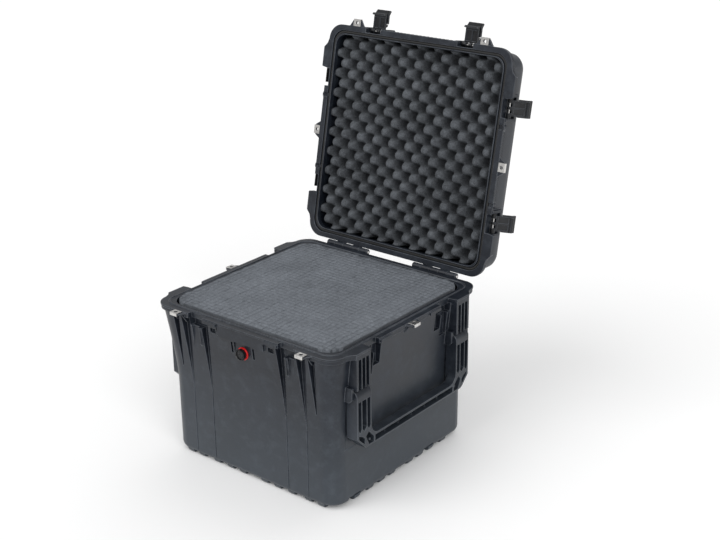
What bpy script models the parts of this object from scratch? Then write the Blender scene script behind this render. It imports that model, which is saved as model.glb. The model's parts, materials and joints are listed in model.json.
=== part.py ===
"""Hard equipment case: cube-shaped base, hinged lid, six latches, two fold-down handles.

Every length below is in millimetres and every vertex is turned into metres as it is made.
X runs along the front, the hinges are at +Y, +Z is up, and the origin is the middle of the
base's underside.  The case is drawn closed and its moving pieces are then turned on their
pivots: the lid stands open, the latches are swung out and the handles hang folded.
"""
import math

import bmesh
import bpy
from mathutils import Matrix, Vector

MM = 0.001
GAP = 0.3

# Base and lid, measured from the mating plane where lid and base meet.
RIM = 370.0
HALF = 260.0
FLANGE = 13.0
FLANGE_CORNER = 36.0
MATING_GAP = 0.6
CAVITY = 235.5
CAVITY_CORNER = 39.0
LID_HEIGHT = 89.0
LID_CAVITY = 244.0
LID_OPEN = 101.5
CORNER_STEPS = 5

# The base's outer wall: (half width, corner radius, height below the mating plane).
BASE_WALL = (
    (256.0, 40.0, -11.0),
    (248.0, 40.0, -92.0),
    (241.5, 40.0, -180.0),
    (240.0, 40.0, -350.0),
    (238.0, 39.5, -357.5),
    (232.5, 37.0, -361.5),
)
# The base's cavity, which the foam fills: (half width, corner radius, height above the ground).
BASE_CAVITY = (
    (226.0, 36.0, 18.0),
    (234.5, CAVITY_CORNER, 34.0),
    (CAVITY, CAVITY_CORNER, RIM - 1.0),
)
# The lid's outer wall: (half width, corner radius, height above the mating plane).
LID_WALL = (
    (250.0, 34.0, 11.0),
    (248.5, 34.0, 62.0),
    (245.0, 34.0, 76.0),
    (238.0, 32.0, 83.0),
    (229.0, 28.0, 86.0),
)

# Tapering channels between the ribs: (inner edge, outer edge, depth of the tip).
CHANNELS = ((97.0, 112.0, 183.0), (154.0, 176.0, 183.0), (187.0, 201.0, 139.0))
CHANNEL_FLOOR = 240.6
LATCH_GROOVE = (129.0, 150.0, 92.0, 249.5)

# Feet: places along each bottom edge, half width, and range out from the middle.
FEET_AT = (33.0, 71.0, 112.0, 160.0, 196.0)
FOOT_HALF = 10.0
FOOT_OUT = (208.0, 232.0)

# Latches.
LATCH_AT = 131.0
NOTCH_HALF = 21.5
NOTCH_DEPTH = 11.0
PIVOT_OUT = 254.0
PIVOT_UP = 25.0
FRONT_LATCH_OPEN = 90.0
SIDE_LATCH_OPEN = 130.0

# Padlock lugs and their steel clips.
FRONT_LUG_AT = 181.0
LUG_OUT = 275.4
LUG_TOP = 1.9
LUG_BOTTOM = 5.7
CLIP_THICKNESS = 1.4
CLIP_OUT = LUG_OUT + 2.0
LOCK_HOLE = 4.6

# Hinges.
HINGE_OUT = 268.0
HINGE_AT = 130.0
HINGE_HALF = 62.0
KNUCKLE = 7.4
HINGE_PIN = 3.0

# Fold-down handles, one on each side.
HANDLE_FACE = 273.0
ARM_IN = 154.0
ARM_OUT = 202.0
HANDLE_PIVOT_OUT = 256.0
HANDLE_PIVOT_DOWN = 102.0
HANDLE_PIN = 4.0
ARM_ROUND = 16.6
ARM_BACK = 243.0
GRIP_TOP = 203.0
GRIP_BOTTOM = 228.0
CORNER_CUT = 30.0
PILLAR_BOTTOM = 84.0

# Pressure valve in the front.
VALVE_DOWN = 57.0
VALVE_SEAT = 249.0
VALVE_STEM = 8.0
VALVE_COLLAR = 15.5
VALVE_KNOB = 13.0

FOAM_PROUD = 5.0
LID_FOAM_BACK = 9.0


# ---------------------------------------------------------------- materials
def finish(name, colour, roughness, metallic=0.0):
    material = bpy.data.materials.new(name)
    material.use_nodes = True
    shader = material.node_tree.nodes["Principled BSDF"]
    shader.inputs["Base Color"].default_value = (*colour, 1.0)
    shader.inputs["Roughness"].default_value = roughness
    shader.inputs["Metallic"].default_value = metallic
    return material


def finishes():
    return {
        "case": finish("black moulded plastic", (0.030, 0.032, 0.035), 0.48),
        "latch": finish("black latch plastic", (0.022, 0.022, 0.024), 0.40),
        "foam": finish("grey foam", (0.115, 0.120, 0.125), 0.95),
        "lid_foam": finish("dark grey foam", (0.075, 0.078, 0.084), 0.95),
        "seal": finish("black rubber", (0.015, 0.015, 0.015), 0.70),
        "steel": finish("stainless steel", (0.62, 0.62, 0.62), 0.30, 1.0),
        "red": finish("red plastic", (0.55, 0.02, 0.02), 0.40),
    }


# ---------------------------------------------------------------- solids
def new_object(name, mesh_maker):
    mesh = bpy.data.meshes.new(name)
    body = bmesh.new()
    mesh_maker(body)
    bmesh.ops.recalc_face_normals(body, faces=body.faces)
    body.to_mesh(mesh)
    body.free()
    thing = bpy.data.objects.new(name, mesh)
    bpy.context.scene.collection.objects.link(thing)
    return thing


def add_loft(body, rings):
    """A closed skin over rings of points, each ring with the same number of points."""
    rows = [[body.verts.new(Vector(point) * MM) for point in ring] for ring in rings]
    count = len(rows[0])
    for lower, upper in zip(rows, rows[1:]):
        for i in range(count):
            j = (i + 1) % count
            body.faces.new((lower[i], lower[j], upper[j], upper[i]))
    body.faces.new(list(reversed(rows[0])))
    body.faces.new(rows[-1])


def add_prism(body, outline, low, high, axis="Z"):
    """An outline pushed from low to high: (x, y) along Z, (y, z) along X, (x, z) along Y."""
    place = {
        "Z": lambda a, b, c: (a, b, c),
        "X": lambda a, b, c: (c, a, b),
        "Y": lambda a, b, c: (a, c, b),
    }[axis]
    add_loft(body, [[place(a, b, c) for a, b in outline] for c in (low, high)])


def add_box(body, low, high):
    outline = ((low[0], low[1]), (high[0], low[1]), (high[0], high[1]), (low[0], high[1]))
    add_prism(body, outline, low[2], high[2])


def circle(centre, radius, steps, start=0.0):
    return [
        (
            centre[0] + radius * math.cos(start + math.tau * i / steps),
            centre[1] + radius * math.sin(start + math.tau * i / steps),
        )
        for i in range(steps)
    ]


def rounded_square(half, radius, steps=CORNER_STEPS):
    points = []
    for quarter in range(4):
        turn = math.radians(90 * quarter)
        for i in range(steps + 1):
            angle = math.radians(90.0 * i / steps)
            x = half - radius + radius * math.cos(angle)
            y = half - radius + radius * math.sin(angle)
            points.append(
                (x * math.cos(turn) - y * math.sin(turn), x * math.sin(turn) + y * math.cos(turn))
            )
    return points


def add_lofted_square(body, sections, base):
    add_loft(
        body,
        [[(x, y, base + z) for x, y in rounded_square(half, radius)] for half, radius, z in sections],
    )


def boolean(target, tool, operation):
    """Joins the tool to the target or cuts it away, for good, and removes the tool."""
    step = target.modifiers.new("step", "BOOLEAN")
    step.operation = operation
    step.solver = "EXACT"
    step.object = tool
    evaluated = target.evaluated_get(bpy.context.evaluated_depsgraph_get())
    result = bpy.data.meshes.new_from_object(evaluated)
    target.modifiers.clear()
    old, spent = target.data, tool.data
    target.data = result
    result.name = target.name
    bpy.data.objects.remove(tool, do_unlink=True)
    bpy.data.meshes.remove(old)
    bpy.data.meshes.remove(spent)


def fuse(target, mesh_maker):
    boolean(target, new_object("tool", mesh_maker), "UNION")


def carve(target, mesh_maker):
    boolean(target, new_object("tool", mesh_maker), "DIFFERENCE")


def to_side(side, along, out):
    """A place on one side of the case, given along it and out from the middle."""
    return {
        "front": (along, -out),
        "right": (out, along),
        "back": (-along, out),
        "left": (-out, -along),
    }[side]


SIDE_TURN = {"front": 0.0, "right": 90.0, "back": 180.0, "left": -90.0}


def side_outline(side, corners):
    return [to_side(side, along, out) for along, out in corners]


def side_box(body, side, along, out, up):
    """A box given by its ranges along a side, out from the middle and up."""
    corners = ((along[0], out[0]), (along[1], out[0]), (along[1], out[1]), (along[0], out[1]))
    add_prism(body, side_outline(side, corners), up[0], up[1])


# ---------------------------------------------------------------- pivots
class Pivot:
    """An empty on a joint's axis. Its place is given for the closed, unturned case."""

    def __init__(self, name, at, parent=None, turn=0.0, yaw=0.0):
        self.at = Vector(at)
        self.empty = bpy.data.objects.new(name, None)
        self.empty.empty_display_size = 0.03
        bpy.context.scene.collection.objects.link(self.empty)
        offset = self.at
        if parent:
            self.empty.parent = parent.empty
            offset = offset - parent.at
        self.empty.location = offset * MM
        self.empty.rotation_euler = (math.radians(turn), 0.0, math.radians(yaw))

    def hold(self, thing):
        """Takes a piece drawn in the closed case's coordinates."""
        thing.data.transform(Matrix.Translation(-self.at * MM))
        thing.parent = self.empty

    def seat(self, thing):
        """Takes a piece drawn about the pivot itself."""
        thing.parent = self.empty


def dress(thing, material, smooth=False):
    thing.data.materials.clear()
    thing.data.materials.append(material)
    if smooth:
        thing.data.shade_smooth()
        thing.data.set_sharp_from_angle(angle=math.radians(35))
    return thing


# ---------------------------------------------------------------- flange
def flange_outline():
    """The rim's outline: latch notches on three sides, shoulders over the handle pillars."""
    notch = ((LATCH_AT - NOTCH_HALF, HALF), (LATCH_AT - NOTCH_HALF, HALF - NOTCH_DEPTH),
             (LATCH_AT + NOTCH_HALF, HALF - NOTCH_DEPTH), (LATCH_AT + NOTCH_HALF, HALF))
    shoulder = ((ARM_IN + 1.0, HANDLE_FACE), (ARM_OUT, HANDLE_FACE), (ARM_OUT + 10.0, HALF + 4.0))
    halves = {"front": notch, "right": notch + shoulder, "back": (), "left": notch + shoulder}
    points = []
    for side in ("front", "right", "back", "left"):
        half = list(halves[side])
        points += side_outline(side, [(-along, out) for along, out in reversed(half)] + half)
        for i in range(CORNER_STEPS + 1):
            angle = math.radians(90.0 * i / CORNER_STEPS)
            along = HALF - FLANGE_CORNER + FLANGE_CORNER * math.sin(angle)
            out = HALF - FLANGE_CORNER + FLANGE_CORNER * math.cos(angle)
            points.append(to_side(side, along, out))
    return points


def add_lug(body, side, at, low, high):
    """The tapering ear that a padlock goes through."""
    ear = ((at - 26.0, 250.0), (at - 22.0, HALF), (at - 13.0, LUG_OUT), (at + 13.0, LUG_OUT),
           (at + 22.0, HALF), (at + 26.0, 250.0))
    if at < 0:
        ear = tuple((2 * at - along, out) for along, out in reversed(ear))
    add_prism(body, side_outline(side, ear), low, high)


LUG_PLACES = (("front", -FRONT_LUG_AT), ("front", FRONT_LUG_AT), ("right", 0.0), ("left", 0.0))
LATCH_PLACES = tuple(
    (side, sign * LATCH_AT) for side in ("front", "right", "left") for sign in (-1.0, 1.0)
)


def hinge_segments(first):
    """Alternate knuckles of one hinge: the base has three, the lid has the two between."""
    step = 2.0 * HINGE_HALF / 5.0
    return [
        (-HINGE_HALF + step * i + GAP, -HINGE_HALF + step * (i + 1) - GAP) for i in range(first, 5, 2)
    ]


def add_knuckles(body, first):
    """Knuckles round the hinge pin, each with a web to the flange it belongs to."""
    for at in (-HINGE_AT, HINGE_AT):
        for low, high in hinge_segments(first):
            add_prism(
                body, circle((HINGE_OUT, RIM), KNUCKLE, 16), at + low, at + high, "X"
            )


def add_webs(body, first, upward):
    for at in (-HINGE_AT, HINGE_AT):
        for low, high in hinge_segments(first):
            near, far = (0.7 * upward, 10.5 * upward)
            outline = ((HALF - 2.0, RIM + near), (HINGE_OUT, RIM + near),
                       (HINGE_OUT + 3.0, RIM + 6.0 * upward), (HALF - 2.0, RIM + far))
            add_prism(body, outline, at + low, at + high, "X")


def add_pin_holes(body):
    for at in (-HINGE_AT, HINGE_AT):
        add_prism(
            body, circle((HINGE_OUT, RIM), HINGE_PIN + GAP, 12),
            at - HINGE_HALF - 2.0, at + HINGE_HALF + 2.0, "X",
        )


def add_lock_holes(body, low, high):
    for side, at in LUG_PLACES:
        add_prism(body, circle(to_side(side, at, 268.5), LOCK_HOLE, 12), low, high)


# ---------------------------------------------------------------- base
def base_shell():
    shell = new_object("base_shell", lambda body: add_lofted_square(body, BASE_WALL, RIM))

    def channels(body):
        for side in ("front", "back"):
            for sign in (-1.0, 1.0):
                for inner, outer, tip in CHANNELS:
                    wedge = ((sign * inner, RIM + 5.0), (sign * outer, RIM + 5.0),
                             (sign * outer, RIM - FLANGE), (sign * (inner + outer) / 2.0, RIM - tip),
                             (sign * inner, RIM - FLANGE))
                    outward = -1.0 if side == "front" else 1.0
                    low, high = sorted((outward * CHANNEL_FLOOR, outward * (HALF + 5.0)))
                    add_prism(body, wedge, low, high, "Y")

    def latch_grooves(body):
        inner, outer, down, floor = LATCH_GROOVE
        for sign in (-1.0, 1.0):
            along = sorted((sign * inner, sign * outer))
            side_box(body, "front", along, (floor, HALF + 5.0), (RIM - down, RIM + 5.0))

    def catch_pockets(body):
        for side, at in LATCH_PLACES:
            side_box(body, side, (at - NOTCH_HALF, at + NOTCH_HALF), (238.5, HALF + 5.0),
                     (RIM - 30.0, RIM + 5.0))
        for side in ("right", "left"):
            for sign in (-1.0, 1.0):
                along = sorted((sign * 97.0, sign * 108.0))
                side_box(body, side, along, (246.5, HALF + 5.0), (RIM - 62.0, RIM + 5.0))

    def handle_recesses(body):
        """Flat-floored recesses that the folded arms and the grip lie in."""
        for side in ("right", "left"):
            for sign in (-1.0, 1.0):
                along = sorted((sign * (ARM_IN - 1.5), sign * (ARM_OUT + 1.5)))
                side_box(body, side, along, (ARM_BACK - 4.2, HALF + 5.0),
                         (RIM - GRIP_BOTTOM - 3.0, RIM - PILLAR_BOTTOM + 3.0))

    carve(shell, channels)
    carve(shell, latch_grooves)
    carve(shell, catch_pockets)
    carve(shell, handle_recesses)
    fuse(shell, lambda body: add_prism(body, flange_outline(), RIM - FLANGE, RIM))

    def valve_band(body):
        side_box(body, "front", (-67.0, 67.0), (240.0, 259.0), (RIM - 30.0, RIM - 4.0))

    def catch_bars(body):
        for side in ("front", "right", "left"):
            for sign in (-1.0, 1.0):
                along = sorted((sign * 69.0, sign * 107.0))
                side_box(body, side, along, (250.0, 263.5), (RIM - 11.5, RIM - 3.0))

    def lugs(body):
        for side, at in LUG_PLACES:
            add_lug(body, side, at, RIM - LUG_BOTTOM, RIM - LUG_TOP)

    def pillars(body):
        for side in ("right", "left"):
            for sign in (-1.0, 1.0):
                along = sorted((sign * (ARM_IN + 0.5), sign * (ARM_OUT - 0.5)))
                side_box(body, side, along, (237.0, HANDLE_FACE - 0.6),
                         (RIM - PILLAR_BOTTOM, RIM - 5.0))

    def pivot_cheeks(body):
        """Walls on both sides of each handle arm's head, which hold the pivot pin."""
        for side in ("right", "left"):
            for sign in (-1.0, 1.0):
                for inner, outer in ((ARM_IN - 9.0, ARM_IN - 1.0), (ARM_OUT + 1.0, ARM_OUT + 8.0)):
                    along = sorted((sign * inner, sign * outer))
                    side_box(body, side, along, (236.0, HANDLE_PIVOT_OUT + 9.0),
                             (RIM - HANDLE_PIVOT_DOWN - 9.0, RIM - PILLAR_BOTTOM + 6.0))

    fuse(shell, valve_band)
    fuse(shell, catch_bars)
    fuse(shell, lugs)
    fuse(shell, pillars)
    fuse(shell, pivot_cheeks)

    def pillar_slots(body):
        for side in ("right", "left"):
            for sign in (-1.0, 1.0):
                for middle in (170.5, 188.0):
                    along = (sign * middle - 3.0, sign * middle + 3.0)
                    side_box(body, side, along, (252.0, HANDLE_FACE + 5.0),
                             (RIM - PILLAR_BOTTOM - 5.0, RIM - FLANGE - 1.0))

    def valve_seat(body):
        side_box(body, "front", (-24.0, 24.0), (VALVE_SEAT, HALF + 5.0), (RIM - 82.0, RIM - 32.0))
        for middle in (-29.5, 29.5):
            side_box(body, "front", (middle - 2.2, middle + 2.2), (241.0, HALF + 5.0),
                     (RIM - 58.0, RIM - 30.5))

    carve(shell, pillar_slots)
    carve(shell, valve_seat)
    fuse(shell, feet)
    fuse(shell, lambda body: add_knuckles(body, 0))
    fuse(shell, lambda body: add_webs(body, 0, -1.0))

    def cavity(body):
        add_lofted_square(body, BASE_CAVITY + ((CAVITY, CAVITY_CORNER, RIM + 10.0),), 0.0)

    def bores(body):
        add_pin_holes(body)
        add_lock_holes(body, RIM - 20.0, RIM + 5.0)
        valve = circle((0.0, RIM - VALVE_DOWN), VALVE_STEM + GAP, 20)
        add_prism(body, valve, -HALF - 5.0, -CAVITY + 5.0, "Y")
        for sign in (-1.0, 1.0):
            for low, high in ((ARM_IN - 8.0, ARM_OUT + 7.0), (-ARM_OUT - 7.0, -ARM_IN + 8.0)):
                centre = (sign * HANDLE_PIVOT_OUT, RIM - HANDLE_PIVOT_DOWN)
                add_prism(body, circle(centre, HANDLE_PIN + GAP, 12), low, high, "Y")

    carve(shell, cavity)
    carve(shell, bores)

    def seal_ridge(body):
        outer = rounded_square(245.2, 30.0)
        add_prism(body, outer, RIM - 3.0, RIM + 2.4)

    def seal_ridge_inside(body):
        add_prism(body, rounded_square(242.0, 28.0), RIM, RIM + 5.0)

    ring = new_object("ring", seal_ridge)
    carve(ring, lambda body: add_prism(body, rounded_square(242.0, 28.0), RIM - 5.0, RIM + 5.0))
    boolean(shell, ring, "UNION")
    return shell


def feet(body):
    """Short bumps round the bottom edge and a pad under the middle, all standing at z = 0."""
    for side in ("front", "right", "back", "left"):
        for at in FEET_AT:
            for middle in (-at, at):
                side_box(body, side, (middle - FOOT_HALF, middle + FOOT_HALF), FOOT_OUT,
                         (0.0, RIM - 350.0))
    add_box(body, (-60.0, -60.0, 0.0), (60.0, 60.0, 14.0))


# ---------------------------------------------------------------- lid
def lid_shell():
    shell = new_object("lid_shell", lambda body: add_lofted_square(body, LID_WALL, RIM))

    def latch_bays(body):
        for side, at in LATCH_PLACES:
            side_box(body, side, (at - 23.9, at + 23.9), (246.6, HALF + 10.0), (RIM - 5.0, RIM + 44.0))

    carve(shell, latch_bays)
    fuse(shell, lambda body: add_prism(body, flange_outline(), RIM + MATING_GAP, RIM + FLANGE))

    def latch_frames(body):
        """Two ears and a bridge round each latch, which hold its pivot pin."""
        for side, at in LATCH_PLACES:
            for sign in (-1.0, 1.0):
                along = sorted((at + sign * 24.3, at + sign * 30.3))
                side_box(body, side, along, (244.0, 261.5), (RIM + 5.0, RIM + 52.0))

    def latch_bridges(body):
        for side, at in LATCH_PLACES:
            side_box(body, side, (at - 29.0, at + 29.0), (244.0, 256.5), (RIM + 45.0, RIM + 51.0))

    def lugs(body):
        for side, at in LUG_PLACES:
            add_lug(body, side, at, RIM + MATING_GAP + LUG_TOP, RIM + MATING_GAP + LUG_BOTTOM)

    def front_band(body):
        side_box(body, "front", (-104.0, 104.0), (244.0, 259.4), (RIM + 8.0, RIM + 30.0))

    fuse(shell, latch_frames)
    fuse(shell, latch_bridges)
    fuse(shell, front_band)
    fuse(shell, lugs)
    fuse(shell, lid_top)
    fuse(shell, lambda body: add_knuckles(body, 1))
    fuse(shell, lambda body: add_webs(body, 1, 1.0))

    def cavity(body):
        add_lofted_square(
            body,
            ((LID_CAVITY, 29.0, 14.0), (LID_CAVITY - 1.0, 29.0, 64.0), (236.0, 29.0, 80.0)),
            RIM,
        )

    def mouth(body):
        add_prism(body, rounded_square(237.5, 28.0), RIM - 5.0, RIM + 20.0)

    def bores(body):
        add_pin_holes(body)
        add_lock_holes(body, RIM - 5.0, RIM + 20.0)
        for side, at in LATCH_PLACES:
            add_side_pin(body, side, at, PIVOT_OUT, PIVOT_UP, 2.0 + GAP, 28.0, 10)

    carve(shell, cavity)
    carve(shell, mouth)
    carve(shell, bores)
    groove = new_object("groove", lambda body: add_prism(
        body, rounded_square(247.2, 31.0), RIM - 5.0, RIM + 6.6))
    carve(groove, lambda body: add_prism(body, rounded_square(240.2, 26.0), RIM - 6.0, RIM + 8.0))
    boolean(shell, groove, "DIFFERENCE")
    return shell


def add_side_pin(body, side, at, out, up, radius, half, steps):
    """A round bar lying along one side of the case."""
    axis = "X" if side in ("front", "back") else "Y"
    x, y = to_side(side, at, out)
    across, middle = (y, x) if axis == "X" else (x, y)
    add_prism(body, circle((across, RIM + up), radius, steps), middle - half, middle + half, axis)


def lid_top(body):
    """Raised pads that the feet of a case stacked on top stand between."""
    for x in (-1.0, 1.0):
        for y in (-1.0, 1.0):
            low = (min(x * 60.0, x * 190.0), min(y * 60.0, y * 190.0), RIM + 84.0)
            high = (max(x * 60.0, x * 190.0), max(y * 60.0, y * 190.0), RIM + LID_HEIGHT)
            add_box(body, low, high)


# ---------------------------------------------------------------- soft parts
def base_foam():
    def block(body):
        sides = tuple((half - 0.6, corner, z + GAP) for half, corner, z in BASE_CAVITY)
        crown = (CAVITY - 2.5, CAVITY_CORNER, RIM + FOAM_PROUD)
        add_lofted_square(body, sides + (crown,), 0.0)

    return new_object("base_foam", block)


def lid_foam():
    def block(body):
        add_lofted_square(
            body,
            ((236.5, 27.5, LID_FOAM_BACK), (236.5, 27.5, 14.3), (243.4, 28.5, 14.6),
             (242.4, 28.5, 64.0), (235.4, 28.5, 79.4)),
            RIM,
        )

    return new_object("lid_foam", block)


def lid_seal():
    seal = new_object(
        "lid_seal", lambda body: add_prism(body, rounded_square(246.8, 30.6), RIM + 3.2, RIM + 6.3)
    )
    carve(seal, lambda body: add_prism(body, rounded_square(240.6, 26.4), RIM, RIM + 10.0))
    return seal


# ---------------------------------------------------------------- metalwork
def lock_clip(name, side, at, low, high):
    """A steel strip folded round the lug, with holes for the padlock's shackle."""
    half = 10.5

    def outer(body):
        side_box(body, side, (at - half, at + half), (260.4, CLIP_OUT), (low, high))

    def inner(body):
        side_box(body, side, (at - half - 1.0, at + half + 1.0), (255.0, CLIP_OUT - CLIP_THICKNESS),
                 (low + CLIP_THICKNESS, high - CLIP_THICKNESS))

    clip = new_object(name, outer)
    carve(clip, inner)
    hole = circle(to_side(side, at, 268.5), LOCK_HOLE - 0.3, 12)
    carve(clip, lambda body: add_prism(body, hole, low - 5.0, high + 5.0))
    return clip


def hinge_pin(name, at):
    def bar(body):
        add_prism(body, circle((HINGE_OUT, RIM), HINGE_PIN, 12),
                  at - HINGE_HALF - 1.0, at + HINGE_HALF + 1.0, "X")

    return new_object(name, bar)


# ---------------------------------------------------------------- latches
ARM_HALF = 17.5
LEVER_HALF = 20.0
LEVER_OUT = 6.8
LEVER_DOWN = 16.0
LEVER_EYE = 3.1
LEVER_PIN = 1.3
EYE_HALF = 11.0
HOOK_TOP = PIVOT_UP + FLANGE + 0.6


def latch_outline(points):
    """Turns (out, down) about the latch's pivot into (y, z) of a latch on the front."""
    return [(-out, -down) for out, down in points]


def latch_arm(name):
    """The part that swings on the lid: a barrel, a plate and the hook that grips the base."""

    def barrel(body):
        add_prism(body, latch_outline(circle((0.0, 0.0), 5.6, 12)), -23.6, 23.6, "X")

    def plate(body):
        points = ((-3.0, 0.0), (3.0, 0.0), (3.0, HOOK_TOP + 5.0), (-9.0, HOOK_TOP + 5.0),
                  (-10.5, HOOK_TOP + 3.0), (-10.5, HOOK_TOP), (-3.0, HOOK_TOP))
        add_prism(body, latch_outline(points), -ARM_HALF, ARM_HALF, "X")

    def lugs(body):
        points = ((0.0, LEVER_DOWN - 6.0), (LEVER_OUT, LEVER_DOWN - LEVER_EYE),
                  (LEVER_OUT + 2.4, LEVER_DOWN - 2.0), (LEVER_OUT + LEVER_EYE, LEVER_DOWN),
                  (LEVER_OUT + 2.4, LEVER_DOWN + 2.0), (LEVER_OUT, LEVER_DOWN + LEVER_EYE),
                  (0.0, LEVER_DOWN + LEVER_EYE))
        for sign in (-1.0, 1.0):
            low, high = sorted((sign * (EYE_HALF + GAP), sign * ARM_HALF))
            add_prism(body, latch_outline(points), low, high, "X")

    def bores(body):
        add_prism(body, latch_outline(circle((0.0, 0.0), 2.3, 10)), -30.0, 30.0, "X")
        pin = circle((LEVER_OUT, LEVER_DOWN), LEVER_PIN + GAP, 10)
        add_prism(body, latch_outline(pin), -30.0, 30.0, "X")

    arm = new_object(name, barrel)
    fuse(arm, plate)
    fuse(arm, lugs)
    carve(arm, bores)
    return arm


def latch_lever(name):
    """The pull, drawn about its own pin: an eye between the arm's lugs and a flared plate."""

    def eye(body):
        add_prism(body, latch_outline(circle((0.0, 0.0), LEVER_EYE, 12)), -EYE_HALF, EYE_HALF, "X")

    def neck(body):
        points = ((-2.4, 0.5), (2.6, 0.5), (2.6, 6.0), (-2.4, 6.0))
        add_prism(body, latch_outline(points), -EYE_HALF, EYE_HALF, "X")

    def plate(body):
        points = ((-3.2, 4.0), (2.6, 4.0), (2.2, 24.0), (7.6, 33.0), (4.4, 35.4), (-3.2, 27.0))
        add_prism(body, latch_outline(points), -LEVER_HALF, LEVER_HALF, "X")

    def bore(body):
        add_prism(body, latch_outline(circle((0.0, 0.0), LEVER_PIN + GAP, 10)), -30.0, 30.0, "X")

    lever = new_object(name, eye)
    fuse(lever, neck)
    fuse(lever, plate)
    carve(lever, bore)
    return lever


def latch_pin(name, radius, half):
    def bar(body):
        add_prism(body, latch_outline(circle((0.0, 0.0), radius, 10)), -half, half, "X")

    return new_object(name, bar)


def add_latch(side, at, lid, finish_of, opened):
    x, y = to_side(side, at, PIVOT_OUT)
    end = "left" if (at < 0) == (side != "left") else "right"
    if side != "front":
        end = "front" if y < 0 else "back"
    label = f"{side}_{end}"
    swing = Pivot(f"pivot_latch_{label}", (x, y, RIM + PIVOT_UP), lid, -opened, SIDE_TURN[side])
    arm = dress(latch_arm(f"latch_arm_{label}"), finish_of["latch"])
    pin = dress(latch_pin(f"latch_pin_{label}", 2.0, 27.6), finish_of["steel"], True)
    pull = Pivot(f"pivot_lever_{label}", (0.0, -LEVER_OUT, -LEVER_DOWN))
    pull.empty.parent = swing.empty
    lever = dress(latch_lever(f"latch_lever_{label}"), finish_of["latch"])
    rivet = dress(latch_pin(f"lever_pin_{label}", LEVER_PIN, ARM_HALF), finish_of["steel"], True)
    swing.seat(arm)
    lid.hold(pin)
    pin.data.transform(Matrix.Translation(lid.at * MM))
    pin.location = swing.empty.location
    pin.rotation_euler = (0.0, 0.0, math.radians(SIDE_TURN[side]))
    pull.seat(lever)
    swing.seat(rivet)
    rivet.location = pull.empty.location


# ---------------------------------------------------------------- handles
def side_profile(side, points):
    """Turns (out, down) on the right or left side into (x, z)."""
    sign = 1.0 if side == "right" else -1.0
    return [(sign * out, RIM - down) for out, down in points]


def handle(name, side):
    """A U of two deep arms and a grip, drawn folded down against the side."""
    head = [
        (HANDLE_PIVOT_OUT + ARM_ROUND * math.cos(a), HANDLE_PIVOT_DOWN - ARM_ROUND * math.sin(a))
        for a in (math.radians(180.0 * i / 8.0) for i in range(9))
    ]
    foot = [(ARM_BACK + 8.0, GRIP_BOTTOM), (ARM_BACK, GRIP_BOTTOM - 10.0)]
    nose = [(HANDLE_FACE - 8.0, GRIP_BOTTOM), (HANDLE_FACE, GRIP_BOTTOM - 8.0)]
    arm_side = head + list(reversed(foot)) + nose

    def arms(body):
        for low, high in ((ARM_IN, ARM_OUT), (-ARM_OUT, -ARM_IN)):
            add_prism(body, side_profile(side, arm_side), low, high, "Y")

    def grip(body):
        points = ((254.0, GRIP_TOP), (270.0, GRIP_TOP), (HANDLE_FACE, GRIP_TOP + 4.0),
                  (HANDLE_FACE, GRIP_BOTTOM - 8.0), (HANDLE_FACE - 8.0, GRIP_BOTTOM),
                  (256.0, GRIP_BOTTOM), (250.0, GRIP_BOTTOM - 5.0), (250.0, GRIP_TOP + 4.0))
        add_prism(body, side_profile(side, points), -ARM_IN - 5.0, ARM_IN + 5.0, "Y")

    def slots(body):
        for sign in (-1.0, 1.0):
            for middle in (170.5, 188.0):
                along = (sign * middle - 3.0, sign * middle + 3.0)
                side_box(body, side, along, (262.0, 280.0),
                         (RIM - GRIP_TOP + 18.0, RIM - HANDLE_PIVOT_DOWN + 4.0))

    def bore(body):
        centre = side_profile(side, [(HANDLE_PIVOT_OUT, HANDLE_PIVOT_DOWN)])[0]
        add_prism(body, circle(centre, HANDLE_PIN + GAP, 12), -ARM_OUT - 5.0, ARM_OUT + 5.0, "Y")

    def across(points):
        """Pushes an outline drawn in (along, down), and its mirror image, through the handle."""
        low, high = sorted(side_profile(side, ((ARM_BACK - 5.0, 0.0), (HANDLE_FACE + 5.0, 0.0))))

        def maker(body):
            for sign in (-1.0, 1.0):
                outline = [(sign * along, RIM - down) for along, down in points]
                add_prism(body, outline, low[0], high[0], "X")

        return maker

    def gussets(body):
        low, high = sorted(side_profile(side, ((254.0, 0.0), (270.0, 0.0))))
        for sign in (-1.0, 1.0):
            corner = ((ARM_IN - 24.0, GRIP_TOP + 5.0), (ARM_IN - 24.0, GRIP_TOP),
                      (ARM_IN, GRIP_TOP - 24.0), (ARM_IN + 5.0, GRIP_TOP - 24.0),
                      (ARM_IN + 5.0, GRIP_TOP + 5.0))
            outline = [(sign * along, RIM - down) for along, down in corner]
            add_prism(body, outline, low[0], high[0], "X")

    bevelled_off = ((ARM_OUT - CORNER_CUT, GRIP_BOTTOM), (ARM_OUT - CORNER_CUT, GRIP_BOTTOM + 9.0),
                    (ARM_OUT + 9.0, GRIP_BOTTOM + 9.0), (ARM_OUT + 9.0, GRIP_BOTTOM - CORNER_CUT),
                    (ARM_OUT, GRIP_BOTTOM - CORNER_CUT))
    thing = new_object(name, arms)
    fuse(thing, grip)
    fuse(thing, gussets)
    carve(thing, across(bevelled_off))
    carve(thing, slots)
    carve(thing, bore)
    return thing


def handle_pin(name, side, low, high):
    def bar(body):
        centre = side_profile(side, [(HANDLE_PIVOT_OUT, HANDLE_PIVOT_DOWN)])[0]
        add_prism(body, circle(centre, HANDLE_PIN, 12), low, high, "Y")

    return new_object(name, bar)


# ---------------------------------------------------------------- valve
def add_disc(body, radius, near, far, steps=24, flute=0.0):
    centre = (0.0, RIM - VALVE_DOWN)
    points = [
        (centre[0] + (radius - flute * (i % 2)) * math.cos(math.tau * i / steps),
         centre[1] + (radius - flute * (i % 2)) * math.sin(math.tau * i / steps))
        for i in range(steps)
    ]
    add_prism(body, points, -far, -near, "Y")


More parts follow.
